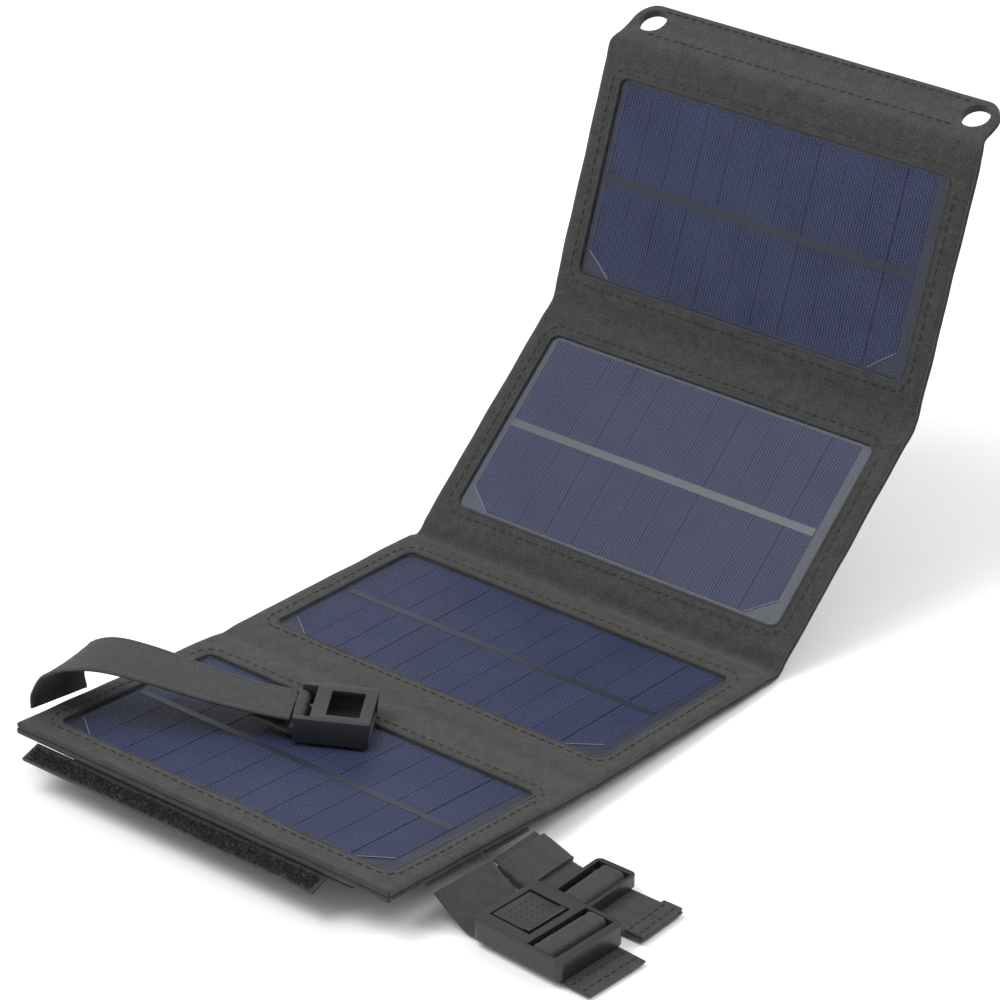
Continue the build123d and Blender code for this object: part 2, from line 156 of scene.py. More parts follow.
def woven(name, dark, light, pitch, rough=0.85, strength=0.5, fleck=0.5):
    """Crossing threads at the given pitch with uneven colour."""
    mat, tree, shader = nodes_of(name, rough)
    cloud, coord = noise_node(tree, 260, 4)
    sep = tree.nodes.new("ShaderNodeSeparateXYZ")
    tree.links.new(coord.outputs["Object"], sep.inputs[0])
    rate = 2 * math.pi / pitch
    depth = math_node(tree, "ADD", sep.outputs[1], sep.outputs[2])
    warp = math_node(tree, "SINE", math_node(tree, "MULTIPLY", sep.outputs[0], rate))
    weft = math_node(tree, "SINE", math_node(tree, "MULTIPLY", depth, rate))
    weave = math_node(tree, "MULTIPLY", warp, weft)
    fine, _ = noise_node(tree, 2200, 2)
    total = math_node(tree, "ADD", math_node(tree, "MULTIPLY", weave, 0.22), cloud)
    flecks = math_node(tree, "MULTIPLY", math_node(tree, "SUBTRACT", fine, 0.5), fleck)
    total = math_node(tree, "ADD", total, flecks)
    tree.links.new(mix_colour(tree, total, dark, light), shader.inputs["Base Color"])
    bump(tree, shader, total, strength, 0.00012)
    shader.inputs["Sheen Weight"].default_value = 0.08
    shader.inputs["Sheen Roughness"].default_value = 0.6
    return mat


def moulded(name, dark, light, rough, scale=900, strength=0.08):
    """Moulded plastic with a faint grain."""
    mat, tree, shader = nodes_of(name, rough)
    grain, _ = noise_node(tree, scale, 3)
    tree.links.new(mix_colour(tree, grain, dark, light), shader.inputs["Base Color"])
    bump(tree, shader, grain, strength, 0.0002)
    return mat


def cell_material():
    """Blue silicon with silver fingers every 1.1 mm and slow colour changes."""
    mat, tree, shader = nodes_of("cell_blue", 0.5)
    cloud, coord = noise_node(tree, 45, 3)
    sep = tree.nodes.new("ShaderNodeSeparateXYZ")
    tree.links.new(coord.outputs["Object"], sep.inputs[0])
    phase = math_node(tree, "FRACT", math_node(tree, "MULTIPLY", sep.outputs[0], 1 / 0.0011))
    off_line = math_node(tree, "ABSOLUTE", math_node(tree, "SUBTRACT", phase, 0.5))
    line = math_node(tree, "LESS_THAN", off_line, 0.07)
    base = mix_colour(tree, cloud, (0.004, 0.006, 0.027), (0.008, 0.012, 0.046))
    node = tree.nodes.new("ShaderNodeMix")
    node.data_type = "RGBA"
    tree.links.new(math_node(tree, "MULTIPLY", line, 0.75), node.inputs[0])
    tree.links.new(base, node.inputs[6])
    node.inputs[7].default_value = (0.075, 0.090, 0.190, 1)
    tree.links.new(node.outputs[2], shader.inputs["Base Color"])
    shader.inputs["Specular IOR Level"].default_value = 0.25
    return mat


def film_material():
    mat, tree, shader = nodes_of("clear_film", 0.42, (0.20, 0.23, 0.34))
    haze, _ = noise_node(tree, 60, 4)
    alpha = math_node(tree, "ADD", math_node(tree, "MULTIPLY", haze, 0.06), 0.0)
    tree.links.new(alpha, shader.inputs["Alpha"])
    grain, _ = noise_node(tree, 500, 2)
    bump(tree, shader, grain, 0.03, 0.0001)
    shader.inputs["Specular IOR Level"].default_value = 0.08
    return mat


CLOTH = woven("canvas", (0.003, 0.003, 0.003), (0.040, 0.0395, 0.038), 0.0008, 0.85, 1.0, 2.6)
PIPING = woven("canvas_edge", (0.008, 0.008, 0.008), (0.034, 0.034, 0.033), 0.0006, fleck=0.8)
WEBBING = woven("webbing", (0.003, 0.003, 0.003), (0.030, 0.030, 0.032), 0.0014, 0.7, 1.0, 1.6)
THREAD = moulded("thread", (0.003, 0.003, 0.003), (0.020, 0.020, 0.020), 0.7, 3000, 0.3)
FUZZ = moulded("fuzz", (0.004, 0.004, 0.004), (0.022, 0.022, 0.022), 0.95, 2500, 0.6)
BUCKLE = moulded("buckle", (0.010, 0.010, 0.012), (0.018, 0.019, 0.022), 0.36)
SILVER = moulded("silver", (0.13, 0.15, 0.20), (0.20, 0.22, 0.28), 0.4)
CELL = cell_material()
FILM = film_material()
BOARD = moulded("board", (0.006, 0.008, 0.020), (0.010, 0.013, 0.030), 0.45)
RIBBON = moulded("ribbon", (0.005, 0.010, 0.017), (0.010, 0.016, 0.025), 0.35)
CASE = moulded("case", (0.020, 0.020, 0.021), (0.030, 0.030, 0.031), 0.5)
SHEET = moulded("stiffener", (0.30, 0.29, 0.27), (0.38, 0.37, 0.35), 0.6)
WIRE = moulded("wire", (0.30, 0.03, 0.02), (0.36, 0.05, 0.04), 0.4)
PCB = moulded("pcb", (0.02, 0.12, 0.05), (0.04, 0.17, 0.07), 0.4)
STEEL = moulded("shell_metal", (0.62, 0.62, 0.64), (0.74, 0.74, 0.76), 0.28)
STEEL.node_tree.nodes["Principled BSDF"].inputs["Metallic"].default_value = 1.0
TONGUE = moulded("tongue", (0.74, 0.74, 0.72), (0.85, 0.85, 0.83), 0.5)
LENS = moulded("lens", (0.45, 0.05, 0.04), (0.55, 0.09, 0.07), 0.2)


# ---------------------------------------------------------------- mesh helpers
def mesh_object(name, verts, faces, mat, smooth=True):
    data = bpy.data.meshes.new(name)
    data.from_pydata([tuple(map(float, v)) for v in verts], [], faces)
    data.validate()
    bm = bmesh.new()
    bm.from_mesh(data)
    bmesh.ops.recalc_face_normals(bm, faces=bm.faces)
    bm.to_mesh(data)
    bm.free()
    data.materials.append(mat)
    data.polygons.foreach_set("use_smooth", [smooth] * len(data.polygons))
    data.set_sharp_from_angle(angle=math.radians(50))
    obj = bpy.data.objects.new(name, data)
    bpy.context.collection.objects.link(obj)
    return obj


def loft(loops, closed_ends=True):
    """Quads between equal loops of points."""
    loops = np.asarray(loops)
    rows, cols = loops.shape[:2]
    verts = loops.reshape(-1, 3)
    faces = []
    for i in range(rows - 1):
        for j in range(cols):
            a, b = i * cols + j, i * cols + (j + 1) % cols
            faces.append((a, b, b + cols, a + cols))
    if closed_ends:
        faces.append(tuple(range(cols))[::-1])
        faces.append(tuple(range((rows - 1) * cols, rows * cols)))
    return verts, faces


def lines(limits, step, extra=()):
    """Evenly spaced values between limits, with extra ones."""
    count = max(2, int(round((limits[1] - limits[0]) / step)) + 1)
    values = list(np.linspace(*limits, count))
    keep = [v for v in values if all(abs(v - e) > step * 0.3 for e in extra)]
    return sorted(set(keep) | {e for e in extra if limits[0] <= e <= limits[1]})


def in_window(k, x, s, grow=0.0):
    cy = FRONT[k] + WINDOW[1] / 2
    r = WINDOW_RADIUS
    dx = abs(x) - (WINDOW[0] / 2 + grow - r)
    dy = abs(s - cy) - (WINDOW[1] / 2 + grow - r)
    return math.hypot(max(dx, 0), max(dy, 0)) + min(max(dx, dy), 0) - r


def wrinkle(x, s, k):
    """Slow waves in the cloth, with smaller ones on them."""
    v = Vector((x * 38, s * 60 + 7 * k, 3.1 * k))
    return 0.00022 * noise.noise(v) + 0.00010 * noise.noise(v * 5)


XS = lines((-0.0725, 0.0725), 0.0015, (-0.0662, -0.0659, 0.0659, 0.0662))
SIDE = ((0.0738, -0.0002), (0.0743, -0.0008), (0.0741, -0.0015), (0.0733, -0.0019), (0.0741, -0.0023),
        (0.0743, -0.0030), (0.0738, -0.0036))


def panel_loop(k, s):
    """One section of the cloth at s on panel k: window floor, raised border, layered sides."""
    loop = []
    for x in XS:
        d = in_window(k, x, s)
        n = -0.0021 if d < 0 else min(0.0, -0.00035 + d * 0.35) + wrinkle(x, s, k)
        loop.append((x, n))
    edge = 0.00035 * noise.noise(Vector((0, s * 70, k * 5.0)))
    loop += [(x + edge, n) for x, n in SIDE]
    loop += [(x, -0.0038 + 0.4 * wrinkle(x, s, k + 9)) for x in XS[::-4]]
    loop += [(-x - edge, n) for x, n in SIDE[::-1]]
    return loop


def cloth_front():
    mid = FRONT[0] + WINDOW[1] / 2
    ss = lines((0.0, mid), GRID_S, (FRONT[0] - 0.00015, FRONT[0] + 0.00015))
    loops = [on_panel(0, [(x, s, n) for x, n in panel_loop(0, s)]) for s in ss]
    obj = mesh_object("cloth_front", *loft(loops), CLOTH)
    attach(obj, "panel_1")
    return obj


def fold_piece(k):
    """Cloth from the middle of window k to the middle of the next, through a softer fold."""
    a = -(REAR[k] + WINDOW[1] / 2)
    b = FRONT[k + 1] + WINDOW[1] / 2
    edges = (-REAR[k] - 0.00015, -REAR[k] + 0.00015, FRONT[k + 1] - 0.00015, FRONT[k + 1] + 0.00015)
    loops = []
    for t in lines((a, b), GRID_S, edges):
        on, s = (k, LENGTHS[k] + t) if t < 0 else (k + 1, t)
        dip = 0.0005 * math.exp(-(t / 0.0035) ** 2)
        mid = -THICK / 2
        pts = [(x, t, mid + (n - mid) * (1 - dip / 0.0019)) for x, n in panel_loop(on, s)]
        loops.append(bent(k, pts))
    obj = mesh_object(f"cloth_fold_{k + 1}", *loft(loops), CLOTH)
    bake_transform(obj)
    return obj


def cut(obj, tool):
    mod = obj.modifiers.new("cut", "BOOLEAN")
    mod.operation = "DIFFERENCE"
    mod.solver = "EXACT"
    mod.object = tool
    graph = bpy.context.evaluated_depsgraph_get()
    data = bpy.data.meshes.new_from_object(obj.evaluated_get(graph))
    obj.modifiers.clear()
    obj.data = data
    bpy.data.objects.remove(tool)


def cylinder(radius, depth, place, count=48):
    bm = bmesh.new()
    bmesh.ops.create_cone(bm, cap_ends=True, segments=count, radius1=radius, radius2=radius, depth=depth)
    bmesh.ops.translate(bm, vec=place, verts=bm.verts)
    data = bpy.data.meshes.new("tool")
    bm.to_mesh(data)
    bm.free()
    obj = bpy.data.objects.new("tool", data)
    bpy.context.collection.objects.link(obj)
    return obj


def cloth_top():
    a = -(REAR[3] + WINDOW[1] / 2)
    loops = []
    ts = lines((a, TAB_LENGTH), GRID_S, (-REAR[3] - 0.00015, -REAR[3] + 0.00015))
    ts = [t for t in ts if t < TAB_LENGTH - 0.0005] + [TAB_LENGTH - v for v in (0.0005, 0.0002, 0.00002)]
    for t in ts:
        far = min(1, max(0, (t + 0.002) / 0.005))
        far = far * far * (3 - 2 * far)
        half = TAB_HALF
        past = t - (TAB_LENGTH - TAB_RADIUS)
        if past > 0:
            half -= TAB_RADIUS - math.sqrt(max(TAB_RADIUS ** 2 - past ** 2, 0))
        scale = 1 + (half / OUTER_HALF - 1) * far
        left = TAB_LENGTH - t
        roll = 1.0
        if left <= EDGE_ROLL:
            roll = max(0.25, math.sqrt(max(0, 1 - (1 - left / EDGE_ROLL) ** 2)))
        pts = []
        for x, n in panel_loop(3, LENGTHS[3] + t):
            low, high = -0.0042 * far - 0.0038 * (1 - far), -0.0012 * far
            m = (n + 0.0038) / 0.0038
            mid = (low + high) / 2
            pts.append((x * scale, t, mid + (low + m * (high - low) - mid) * roll))
        loops.append(pts)
    obj = mesh_object("cloth_top", *loft(loops), CLOTH)
    for way in (-1, 1):
        cut(obj, cylinder(EYELET_RADIUS, 0.03, (way * EYELET_X, EYELET_T, -0.0027)))
    flat = np.empty(len(obj.data.vertices) * 3)
    obj.data.vertices.foreach_get("co", flat)
    obj.data.vertices.foreach_set("co", bent(3, flat.reshape(-1, 3)).ravel())
    obj.data.update()
    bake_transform(obj)
    return obj


def tube(name, points, radius, mat, closed=True, count=8):
    """Round tube along points."""
    pts = [Vector(p) for p in points]
    total = len(pts)
    loops = []
    for i, p in enumerate(pts):
        a = pts[(i - 1) % total] if closed or i else p
        b = pts[(i + 1) % total] if closed or i < total - 1 else p
        t = (b - a).normalized()
        u = t.cross(Vector((0, 0.3, 1))).normalized()
        v = t.cross(u)
        loops.append([tuple(p + (u * math.cos(q) + v * math.sin(q)) * radius)
                      for q in np.linspace(0, 2 * math.pi, count, endpoint=False)])
    if closed:
        loops.append(loops[0])
    verts, faces = loft(loops, not closed)
    return mesh_object(name, verts, faces, mat)


def window_path(k, grow, step=0.0008):
    """Points (x, s) of a rounded rectangle about window k."""
    cy = FRONT[k] + WINDOW[1] / 2
    r = WINDOW_RADIUS + max(grow, 0)
    hx, hy = WINDOW[0] / 2 + grow, WINDOW[1] / 2 + grow
    path = []
    corners = ((hx - r, hy - r, 0), (-hx + r, hy - r, 90), (-hx + r, -hy + r, 180), (hx - r, -hy + r, 270))
    for x, y, a in corners:
        for q in np.linspace(a, a + 90, 7):
            path.append((x + r * math.cos(math.radians(q)), cy + y + r * math.sin(math.radians(q))))
    dense = []
    for i, p in enumerate(path):
        q = path[(i + 1) % len(path)]
        length = math.hypot(q[0] - p[0], q[1] - p[1])
        for j in range(max(1, int(length / step))):
            f = j / max(1, int(length / step))
            dense.append((p[0] + (q[0] - p[0]) * f, p[1] + (q[1] - p[1]) * f))
    return dense


def stitch_mesh(name, places, body, length=0.0024):
    """Short sunk threads at (point, tangent, normal)."""
    verts, faces = [], []
    profile = ((-0.5, 0.15), (-0.3, 0.85), (0.0, 1.0), (0.3, 0.85), (0.5, 0.15))
    for p, t, n in places:
        b = np.cross(n, t)
        base = len(verts)
        for u, g in profile:
            for q in range(5):
                a = 2 * math.pi * q / 5
                verts.append(p + t * u * length + (b * math.cos(a) + n * math.sin(a)) * 0.00027 * g)
        for i in range(4):
            for q in range(5):
                a, c = base + i * 5 + q, base + i * 5 + (q + 1) % 5
                faces.append((a, c, c + 5, a + 5))
        faces.append(tuple(base + q for q in range(5)))
        faces.append(tuple(base + 20 + q for q in range(5)))
    obj = mesh_object(name, verts, faces, THREAD)
    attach(obj, body)


def stitches(k):
    """The seam round the window."""
    flat = []
    path = window_path(k, 0.0032, 0.0003)
    run, last = 0.0, None
    for i, p in enumerate(path):
        if last is not None:
            run += math.hypot(p[0] - last[0], p[1] - last[1])
        last = p
        if run > 0.0034:
            run = 0.0
            q = path[(i + 1) % len(path)]
            flat.append((p, q))
    places = []
    nrm = np.array((0.0, *out(SLOPES[k])))
    for p, q in flat:
        if not 0.0006 < p[1] < LENGTHS[k] - 0.0006:
            continue
        a, b = on_panel(k, [(*p, 0.0001 + wrinkle(*p, k)), (*q, 0.0001 + wrinkle(*p, k))])
        places.append((a, (b - a) / np.linalg.norm(b - a), nrm))
    stitch_mesh(f"stitches_{k + 1}", places, f"panel_{k + 1}")


def bead(k):
    pts = on_panel(k, [(x, s, -0.0005) for x, s in window_path(k, 0.0004, 0.002)])
    obj = tube(f"window_bead_{k + 1}", pts, 0.00062, PIPING)
    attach(obj, f"panel_{k + 1}")


def film(k):
    cy = FRONT[k] + WINDOW[1] / 2
    hx, hy = WINDOW[0] / 2 + 0.0008, WINDOW[1] / 2 + 0.0008
    corners = ((-hx, -hy), (hx, -hy), (hx, hy), (-hx, hy))
    pts = [(x, cy + y, n) for n in (-0.00092, -0.00072) for x, y in corners]
    faces = [(0, 3, 2, 1), (4, 5, 6, 7), (0, 1, 5, 4), (1, 2, 6, 5), (2, 3, 7, 6), (3, 0, 4, 7)]
    obj = mesh_object(f"film_{k + 1}", on_panel(k, pts), faces, FILM, False)
    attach(obj, f"panel_{k + 1}")
    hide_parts(f"encapsulant_{k + 1}")
    return obj


def corner_lines(k):
    """The pale cut edges at the cell row's two front corners."""
    y0 = FRONT[k] + WINDOW[1] / 2 - 0.033
    for side, x, way in (("left", -0.0632, 1), ("right", 0.0613, -1)):
        steps = ((-0.0003, 0.0072), (0.0044, 0.0036), (0.0092, -0.0003))
        pts = on_panel(k, [(x + way * dx, y0 + dy, -0.00095) for dx, dy in steps])
        obj = tube(f"corner_line_{side}_{k + 1}", pts, 0.00013, SILVER, closed=False, count=6)
        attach(obj, f"panel_{k + 1}")


def edge_roll():
    """The front edge's two rolled layers."""
    for i, n in enumerate((-0.0009, -0.0029)):
        pts = []
        for x in np.linspace(-0.0735, 0.0735, 90):
            pts.append((x, 0.0004 + 0.0002 * noise.noise(Vector((x * 60, i, 0))), n))
        obj = tube(f"edge_roll_{i + 1}", on_panel(0, pts), 0.00105, PIPING, closed=False, count=10)
        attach(obj, "panel_1")


# ---------------------------------------------------------------- webbing
def smooth_path(points, step=0.0005):
    """Dense points along a rounded line through the given ones."""
    pts = np.asarray(points, float)
    ext = np.vstack([2 * pts[0] - pts[1], pts, 2 * pts[-1] - pts[-2]])
    dense = []
    for i in range(1, len(ext) - 2):
        p0, p1, p2, p3 = ext[i - 1:i + 3]
        count = max(2, int(np.linalg.norm(p2 - p1) / step))
        for f in np.arange(count) / count:
            dense.append(0.5 * (2 * p1 + (p2 - p0) * f + (2 * p0 - 5 * p1 + 4 * p2 - p3) * f * f
                                + (3 * p1 - p0 - 3 * p2 + p3) * f ** 3))
    dense.append(pts[-1])
    return np.array(dense)


def chamfered(points, cut_back):
    """Dense points along a polyline with its corners rounded."""
    pts = np.asarray(points, float)
    res = [pts[0]]
    for i in range(1, len(pts) - 1):
        a, b, c = pts[i - 1], pts[i], pts[i + 1]
        la, lc = np.linalg.norm(a - b), np.linalg.norm(c - b)
        ca, cc = min(cut_back, la * 0.45), min(cut_back, lc * 0.45)
        p, q = b + (a - b) / la * ca, b + (c - b) / lc * cc
        for f in (0, 0.25, 0.5, 0.75, 1):
            res.append((1 - f) ** 2 * p + 2 * f * (1 - f) * b + f * f * q)
    res.append(pts[-1])
    dense = []
    for a, b in zip(res[:-1], res[1:]):
        count = max(1, int(np.linalg.norm(b - a) / 0.0004))
        dense += [a + (b - a) * i / count for i in range(count)]
    dense.append(res[-1])
    return np.array(dense)


def ribbon(name, centre, across, widths, thick, body):
    """Ribbed webbing along centre, with the given across directions."""
    tangents = np.gradient(centre, axis=0)
    tangents /= np.linalg.norm(tangents, axis=1)[:, None]
    across = across - tangents * np.sum(across * tangents, axis=1)[:, None]
    across /= np.linalg.norm(across, axis=1)[:, None]
    normals = np.cross(tangents, across)
    run = np.concatenate([[0], np.cumsum(np.linalg.norm(np.diff(centre, axis=0), axis=1))])
    vs = np.linspace(-0.94, 0.94, 30)
    loops = []
    for c, a, n, w, r in zip(centre, across, normals, widths, run):
        rib = 0.00011 * math.sin(2 * math.pi * r / 0.0017)
        top = []
        for j, v in enumerate(vs):
            groove = -0.00010 if abs(abs(v) - 0.78) < 0.04 else 0.0
            h = thick / 2 - 0.0001 + rib * (1 if j % 2 else -1) + groove
            top.append((v, h))
        loop = top + [(0.985, thick * 0.28), (1.0, 0.0), (0.985, -thick * 0.28)]
        loop += [(v, -h) for v, h in top[::-1]]
        loop += [(-0.985, -thick * 0.28), (-1.0, 0.0), (-0.985, thick * 0.28)]
        loops.append([c + a * v * w / 2 + n * h for v, h in loop])
    obj = mesh_object(name, *loft(loops), WEBBING)
    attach(obj, body)
    return obj


def left_strap():
    rows = [(-76.4, 20.5, 0.2, 0, 24.5), (-77.2, 20.7, 4.5, 2, 24.5), (-75.8, 21.5, 10.5, 8, 24.5),
            (-71, 23.6, 15.2, 18, 24.5), (-63, 27.6, 17.2, 26, 24.5), (-52, 34.4, 15.4, 32, 24.5),
            (-38, 44.4, 10.8, 34, 23.0), (-25.5, 53.0, 7.6, 33, 20.5), (-15.2, 59.8, 6.15, 33, 20.5)]
    rows = np.array(rows)
    mid = smooth_path(rows[:, :3] * MM)
    share = np.linspace(0, 1, len(mid))
    seen = [0.0]
    for a, b in zip(rows[:-1, :3], rows[1:, :3]):
        seen.append(seen[-1] + max(2, int(np.linalg.norm(b - a) * MM / 0.0005)))
    seen = np.array(seen) / seen[-1]
    heading = np.radians(np.interp(share, seen, rows[:, 3]))
    widths = np.interp(share, seen, rows[:, 4]) * MM
    centre = on_panel(0, mid)
    local = np.column_stack([-np.sin(heading), np.cos(heading), np.zeros(len(mid))])
    across = on_panel(0, mid + local) - centre
    obj = ribbon("left_strap_webbing", centre, across, widths, 0.0014, "left_strap")
    # the sewn eye round the buckle's bar
    h = math.radians(33)
    head, side = np.array((math.cos(h), math.sin(h), 0)), np.array((-math.sin(h), math.cos(h), 0))
    bar = np.array((-14.0, 60.6, 3.9)) * MM
    pts = []
    for q in np.linspace(100, -115, 26):
        a = math.radians(q)
        pts.append(bar + head * 0.0025 * math.cos(a) + np.array((0, 0, 1)) * 0.0025 * math.sin(a))
    for f in np.linspace(0.1, 1, 12):
        pts.append(bar - head * (0.0015 + 0.0115 * f) + np.array((0, 0, -0.0023 + 0.0042 * f)))
    pts = np.array(pts)
    world = on_panel(0, pts)
    across = on_panel(0, pts + side) - world
    eye = ribbon("left_strap_eye", world, across, [0.0205] * len(pts), 0.0012, "left_strap")
    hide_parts("left_webbing")


def xz_strap(name, points, frame_pt, heading, width, body, cut_back, thick=0.0013):
    """Webbing whose middle line lies in the upright plane through frame_pt."""
    h = math.radians(heading)
    mid = chamfered(np.array(points) * MM, cut_back * MM)
    o = np.array(frame_pt) * MM
    x, y = o[0] + mid[:, 0] * math.cos(h), o[1] + mid[:, 0] * math.sin(h)
    centre = np.column_stack([x, y, o[2] + mid[:, 1]])
    across = np.tile((-math.sin(h), math.cos(h), 0), (len(mid), 1)).astype(float)
    obj = ribbon(name, centre, across, [width * MM] * len(mid), thick, body)
    return obj


def seam(name, o, heading, us, z, width, body):
    """Stitch rows across a strap at the given distances."""
    h = math.radians(heading)
    d, s = np.array((math.cos(h), math.sin(h), 0)), np.array((-math.sin(h), math.cos(h), 0))
    places = []
    for u in us:
        for v in np.arange(-width / 2 + 1.6, width / 2 - 1, 3.0):
            point = np.array(o) * MM + d * u * MM + s * v * MM + np.array((0, 0, z * MM))
            places.append((point, s, np.array((0, 0, 1.0))))
    stitch_mesh(name, places, body, 0.0021)


def right_straps():
    m = (110.0, -17.8, 2.0)
    over_bar = [(-33.4, 6.6), (-28.5, 3.2), (-21.0, -1.1), (4.1, -1.1), (5.2, 6.1), (11.0, 6.1), (12.4, -1.1),
                (26.5, -1.1)]
    a = xz_strap("adjust_strap_webbing", over_bar, m, -4, 24.5, "adjust_strap", 1.3)
    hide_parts("strap_a_webbing")
    seam("adjust_strap_seam", m, -4, (19.5, 23.8), -0.40, 24.5, "adjust_strap")
    o = (0, 9.5, 0)
    run = [(75.9, 6.4), (92, 0.9), (130.5, 0.9)]
    b = xz_strap("guide_strap_webbing", run, o, 0, 20, "guide_strap", 4)
    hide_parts("strap_b_webbing")
    fold = [(124.0, 2.2), (127, 2.25), (130.5, 2.2)]
    hem = xz_strap("guide_strap_hem", fold, o, 0, 19.6, "guide_strap", 1)
    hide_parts("strap_b_hem")
    seam("guide_strap_seam", o, 0, (125.4, 129.0), 2.86, 19.6, "guide_strap")
    hump = [(-4.6, 0.75), (-3.2, 3.6), (3.2, 3.6), (4.6, 0.75)]
    g = xz_strap("slider_webbing", hump, (105.3, 9.5, 1.8), 0, 20, "slider", 1.2)
    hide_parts("glide_webbing")
    # flat loop of webbing round the strap
    slope = math.atan2(5.5, 16.1)
    c = np.array((83.95, 9.5, 3.7)) * MM
    d = np.array((math.cos(slope), 0, -math.sin(slope)))
    up = np.array((math.sin(slope), 0, math.cos(slope)))
    ring = []
    for q in np.linspace(0, 2 * math.pi, 72):
        y = math.copysign(abs(math.cos(q)) ** 0.35, math.cos(q)) * 0.01085
        z = math.copysign(abs(math.sin(q)) ** 0.8, math.sin(q)) * 0.00150
        ring.append(c + np.array((0, 1, 0)) * y + up * z)
    ring = np.array(ring)
    across = np.tile(d, (len(ring), 1))
    keeper = ribbon("keeper_webbing", ring, across, [0.0120] * len(ring), 0.0011, "guide_strap")
    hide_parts("keeper_loop")


# ---------------------------------------------------------------- lip
def lip():
    a = math.radians(17.0)
    o = np.array((-0.044436, 0.012531))
    f, up = np.array((-math.cos(a), -math.sin(a))), np.array((-math.sin(a), math.cos(a)))

    def place(x, u, n):
        yz = o + f * u + up * n
        return (x, float(yz[0]), float(yz[1]))

    loops = []
    for x in np.linspace(-0.066, 0.050, 110):
        w = 0.0003 * noise.noise(Vector((x * 50, 2, 0)))
        top = [(u, 0.0 + 0.9 * w * u / 0.0076) for u in np.linspace(0.0004, 0.0076, 10)]
        low = [(u, -0.0010 + 0.9 * w * u / 0.0076) for u in np.linspace(0.0076, 0.0004, 10)]
        loops.append([place(x, u, n) for u, n in top + low])
    cloth = mesh_object("lip_cloth", *loft(loops), CLOTH)
    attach(cloth, "closing_lip")
    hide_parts("lip_fabric")
    rnd = random.Random(3)
    verts, faces = [], []
    for i in range(4200):
        x, u = rnd.uniform(-0.0648, 0.0488), rnd.uniform(0.0019, 0.0071)
        dx, du, h = rnd.gauss(0, 0.0005), rnd.gauss(0.0001, 0.0005), rnd.uniform(0.0006, 0.0013)
        r, base = 0.00009, len(verts)
        for f2, hh in ((0, 0.0), (0.4, h * 0.8), (1.0, h)):
            for q in range(3):
                b = 2.1 * q
                k = 1 - 0.5 * f2
                px, pu = x + dx * f2 + r * k * math.cos(b), u + du * f2 + r * k * math.sin(b)
                verts.append(place(px, pu, hh - 0.0001))
        for j in (0, 3):
            for q in range(3):
                c, d = base + j + q, base + j + (q + 1) % 3
                faces.append((c, d, d + 3, c + 3))
        faces.append((base + 6, base + 7, base + 8))
        faces.append((base, base + 2, base + 1))
    fuzz = mesh_object("lip_fuzz", verts, faces, FUZZ)
    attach(fuzz, "closing_lip")
    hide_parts("lip_strip")


# ---------------------------------------------------------------- moulded pieces, edges softened
def softened(node, name, body, width, mat):
    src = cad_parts[node]
    obj = bpy.data.objects.new(name, src.data.copy())
    bpy.context.collection.objects.link(obj)
    obj.matrix_world = src.matrix_world.copy()
    bm = bmesh.new()
    bm.from_mesh(obj.data)
    bmesh.ops.remove_doubles(bm, verts=bm.verts, dist=0.00001)
    bmesh.ops.dissolve_limit(bm, angle_limit=math.radians(1), verts=bm.verts, edges=bm.edges)
    bm.to_mesh(obj.data)
    bm.free()
    mod = obj.modifiers.new("soft", "BEVEL")
    mod.width = width
    mod.segments = 3
    mod.limit_method = "ANGLE"
    mod.angle_limit = math.radians(40)
    graph = bpy.context.evaluated_depsgraph_get()
    data = bpy.data.meshes.new_from_object(obj.evaluated_get(graph))
    obj.modifiers.clear()
    obj.data = data
    data.materials.clear()
    data.materials.append(mat)
    data.polygons.foreach_set("use_smooth", [True] * len(data.polygons))
    data.set_sharp_from_angle(angle=math.radians(35))
    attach(obj, body)
    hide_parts(node)


def pad_dots():
    """Raised grip dots on the release pad."""
    h = math.radians(-4)
    d, s = Vector((math.cos(h), math.sin(h), 0)), Vector((-math.sin(h), math.cos(h), 0))
    bm = bmesh.new()
    for i in range(5):
        for j in range(6):
            u, v = -11.8 + i * 2.2, -5.75 + j * 2.3
            p = Vector((0.110, -0.0178, 0.0084)) + d * u * MM + s * v * MM
            bmesh.ops.create_icosphere(bm, subdivisions=2, radius=0.00055, matrix=Matrix.Translation(p)
                                       @ Matrix.Diagonal((1, 1, 0.45, 1)))
    data = bpy.data.meshes.new("pad_dots")
    bm.to_mesh(data)
    bm.free()
    data.materials.append(BUCKLE)
    data.polygons.foreach_set("use_smooth", [True] * len(data.polygons))
    obj = bpy.data.objects.new("pad_dots", data)
    bpy.context.collection.objects.link(obj)
    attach(obj, "release_tongue")


def tab_stitches():
    places = []
    d, n = np.array((0.0, *along(SLOPES[4]))), np.array((0.0, *out(SLOPES[4])))
    for t in (0.0035, 0.0148):
        for x in np.arange(-0.061, 0.0611, 0.0034):
            places.append((bent(3, [(x, t + 0.0001, -0.00105)])[0], np.array((1.0, 0, 0)), n))
    stitch_mesh("tab_stitches", places, "hang_tab")


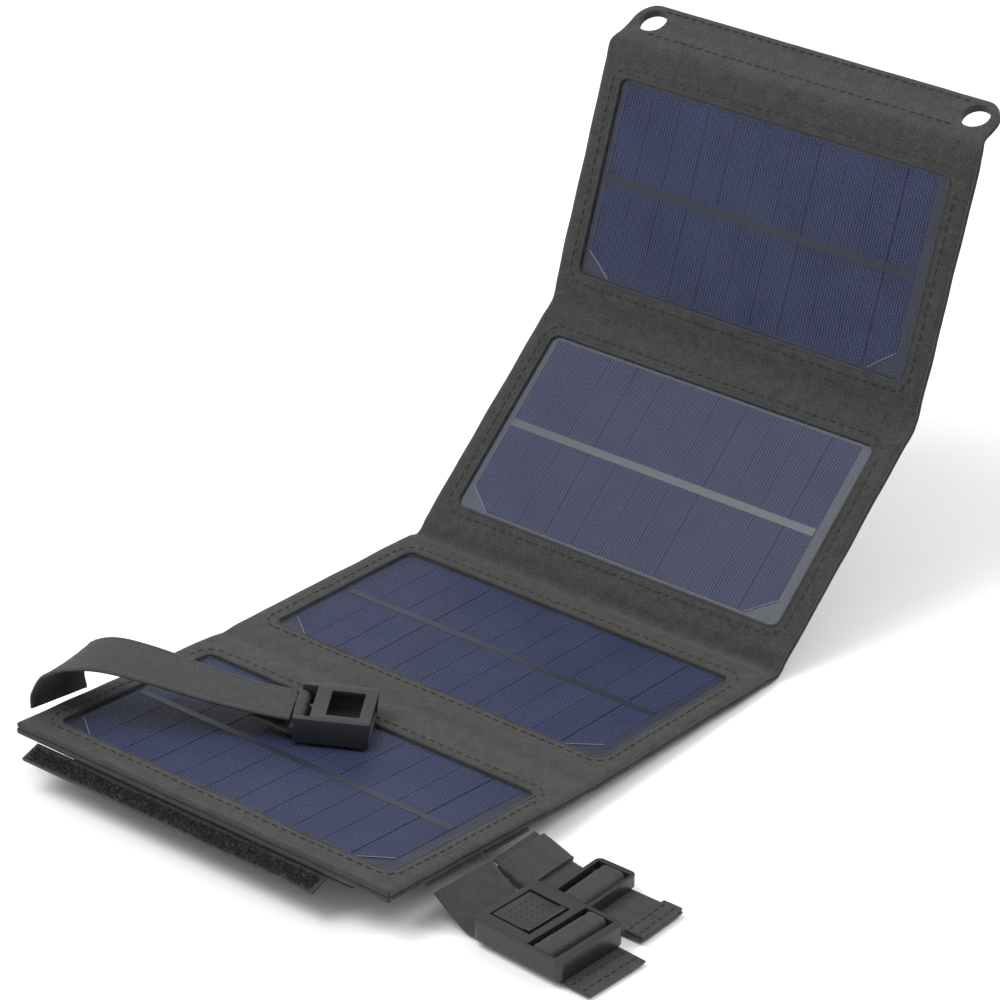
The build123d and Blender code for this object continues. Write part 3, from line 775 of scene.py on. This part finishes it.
# ---------------------------------------------------------------- build
front = cloth_front()
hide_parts("front_cover_1", "back_cover_1")
for k in range(3):
    piece = fold_piece(k)
    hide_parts(f"front_cover_{k + 2}", f"back_cover_{k + 2}")
top = cloth_top()
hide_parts("tab_front_cover", "tab_back_cover")
for k in range(4):
    stitches(k)
    bead(k)
    corner_lines(k)
    film(k)
edge_roll()
tab_stitches()
left_strap()
right_straps()
lip()
softened("pouch_shell", "pouch_cloth", "panel_1", 0.0004, CLOTH)
softened("female_buckle", "socket_half", "socket_buckle", 0.0006, BUCKLE)
softened("male_frame", "plug_half", "adjust_strap", 0.0006, BUCKLE)
softened("release_pad", "thumb_pad", "release_tongue", 0.0005, BUCKLE)
softened("tri_glide", "three_bar_slider", "slider", 0.0005, BUCKLE)
pad_dots()

LOOKS = {"module_board": BOARD, "cell_strips": CELL, "busbar_ribbon": RIBBON, "stiffener_board": SHEET,
         "lead_wires": WIRE, "mouth_strip": FUZZ, "case_bottom": CASE, "case_top": CASE, "circuit_board": PCB,
         "usb_shell": STEEL, "usb_tongue": TONGUE, "led_lens": LENS, "left_anchor": WEBBING,
         "right_anchors": WEBBING}
for name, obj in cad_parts.items():
    key = name[:-2] if name[-2] == "_" and name[-1] in "1234" else name
    if key in LOOKS:
        obj.data.materials.clear()
        obj.data.materials.append(LOOKS[key])


# ---------------------------------------------------------------- stage, light, camera
def stage():
    bpy.ops.mesh.primitive_plane_add(size=6, location=(0, 0, -0.0006))
    floor = bpy.context.object
    floor.name = "floor"
    mat, tree, shader = nodes_of("floor_white", 0.9, (0.90, 0.90, 0.90))
    cloud, _ = noise_node(tree, 3, 2)
    pale = mix_colour(tree, cloud, (0.89, 0.89, 0.89), (0.91, 0.91, 0.91))
    tree.links.new(pale, shader.inputs["Base Color"])
    floor.data.materials.append(mat)
    world = bpy.data.worlds.new("sky")
    bpy.context.scene.world = world
    world.use_nodes = True
    world.node_tree.nodes["Background"].inputs[0].default_value = (1, 1, 1, 1)
    world.node_tree.nodes["Background"].inputs[1].default_value = 0.75
    lamps = (("key", (-0.5, -0.5, 1.3), 16, 0.9), ("rim", (0.7, 0.9, 1.1), 9, 0.8))
    for name, place, energy, size in lamps:
        data = bpy.data.lights.new(name, "AREA")
        data.energy = energy
        data.size = size
        lamp = bpy.data.objects.new(name, data)
        lamp.location = place
        aim = Vector((0, 0.1, 0.05)) - Vector(place)
        lamp.rotation_euler = aim.to_track_quat("-Z", "Y").to_euler()
        bpy.context.collection.objects.link(lamp)


def camera():
    data = bpy.data.cameras.new("camera")
    cam = bpy.data.objects.new("camera", data)
    bpy.context.collection.objects.link(cam)
    az, el, roll, reach = math.radians(38.41), math.radians(28.01), math.radians(0.544), 1.3147
    target = Vector((-0.00383, 0.10175, 0.05706))
    fwd = Vector((-math.sin(az) * math.cos(el), math.cos(az) * math.cos(el), -math.sin(el)))
    cam.location = target - fwd * reach
    turn = fwd.to_track_quat("-Z", "Y").to_matrix().to_4x4() @ Matrix.Rotation(roll, 4, "Z")
    cam.rotation_euler = turn.to_euler()
    data.lens = 150.25
    data.sensor_width = 36
    bpy.context.scene.camera = cam


stage()
camera()
bpy.context.scene.view_settings.view_transform = "Standard"
